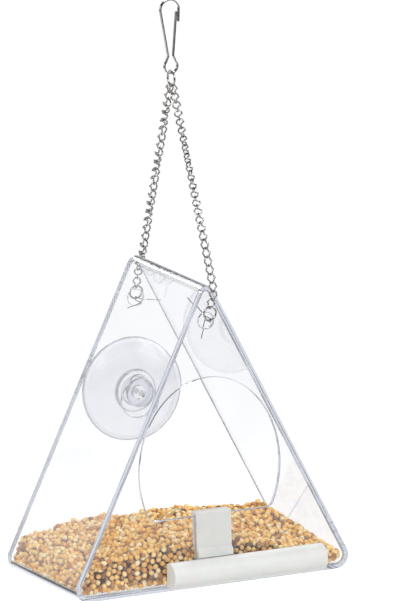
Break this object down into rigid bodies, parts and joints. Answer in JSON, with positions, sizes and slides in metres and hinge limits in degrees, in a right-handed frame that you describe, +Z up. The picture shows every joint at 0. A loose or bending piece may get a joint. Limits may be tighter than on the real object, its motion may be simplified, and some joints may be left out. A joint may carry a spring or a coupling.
{
  "type": "bird feeder",
  "caption": "Hanging triangular clear bird feeder with an oval opening, a clip-on perch rod, a rear suction cup, two chain legs and a snap hook, filled with seed.",
  "frame": {"origin": "top of the inside of the snap hook's bend, where the hook bears on what it hangs from", "axes": "+Z up, +X to the right seen from the opening, +Y from the opening to the back panel with the suction cup"},
  "size_m": [0.1876, 0.1269, 0.3641],
  "materials": {
    "clear_acrylic": "clear, polished",
    "clear_soft_plastic": "clear, soft, glossy",
    "milky_plastic": "milky, satin",
    "nickel_plate": "polished nickel",
    "spring_steel": "polished",
    "tie_wire": "plain wire",
    "millet_seed": "dry husks, dull"
  },
  "bodies": {
    "hook": {"snap_hook": "spring_steel"},
    "gate": {"hook_gate": "spring_steel"},
    "ring": {"top_ring": "nickel_plate"},
    "sling": {"front_link_01": "nickel_plate", "front_link_02": "nickel_plate", "front_link_03": "nickel_plate", "front_link_04": "nickel_plate", "front_link_05": "nickel_plate", "front_link_06": "nickel_plate", "front_link_07": "nickel_plate", "front_link_08": "nickel_plate", "front_link_09": "nickel_plate", "front_link_10": "nickel_plate", "front_link_11": "nickel_plate", "front_link_12": "nickel_plate", "front_link_13": "nickel_plate", "front_link_14": "nickel_plate", "front_link_15": "nickel_plate", "front_link_16": "nickel_plate", "front_link_17": "nickel_plate", "front_link_18": "nickel_plate", "front_link_19": "nickel_plate", "front_link_20": "nickel_plate", "front_link_21": "nickel_plate", "front_link_22": "nickel_plate", "back_link_01": "nickel_plate", "back_link_02": "nickel_plate", "back_link_03": "nickel_plate", "back_link_04": "nickel_plate", "back_link_05": "nickel_plate", "back_link_06": "nickel_plate", "back_link_07": "nickel_plate", "back_link_08": "nickel_plate", "back_link_09": "nickel_plate", "back_link_10": "nickel_plate", "back_link_11": "nickel_plate", "back_link_12": "nickel_plate", "back_link_13": "nickel_plate", "back_link_14": "nickel_plate", "back_link_15": "nickel_plate", "back_link_16": "nickel_plate", "back_link_17": "nickel_plate", "back_link_18": "nickel_plate", "back_link_19": "nickel_plate", "back_link_20": "nickel_plate", "back_link_21": "nickel_plate", "back_link_22": "nickel_plate", "back_link_23": "nickel_plate", "back_link_24": "nickel_plate", "front_ring": "nickel_plate", "back_ring": "nickel_plate"},
    "house": {"folded_shell": "clear_acrylic", "front_panel": "clear_acrylic", "back_panel": "clear_acrylic", "seed_fill": "millet_seed", "front_wire_tie": "tie_wire", "back_wire_tie": "tie_wire"},
    "perch": {"perch_clip": "milky_plastic", "perch_bar": "milky_plastic"},
    "cup": {"suction_cup": "clear_soft_plastic"}
  },
  "joints": [
    {"name": "gate_hinge", "type": "hinge", "parent": "hook", "child": "gate", "pos_m": [0.00337, 0, -0.03892], "axis": [0, -1, 0], "range_deg": [0, 15], "stiffness_Nm_per_rad": 0.02},
    {"name": "ring_swing", "type": "hinge", "parent": "hook", "child": "ring", "pos_m": [0, 0, -0.04615], "axis": [1, 0, 0], "range_deg": [-20, 20]},
    {"name": "sling_swing", "type": "hinge", "parent": "ring", "child": "sling", "pos_m": [0, 0, -0.05421], "axis": [0, 1, 0], "range_deg": [-20, 20]},
    {"name": "house_swing", "type": "hinge", "parent": "sling", "child": "house", "pos_m": [-0.002, -0.052, -0.19325], "axis": [0.0139, 0.9972, -0.0734], "range_deg": [-25, 25]},
    {"name": "perch_lift", "type": "slide", "parent": "house", "child": "perch", "axis": [0, 0, 1], "range_m": [0, 0.025]},
    {"name": "cup_slide", "type": "slide", "parent": "house", "child": "cup", "axis": [0, 0, 1], "range_m": [-0.0049, 0.006]}
  ]
}
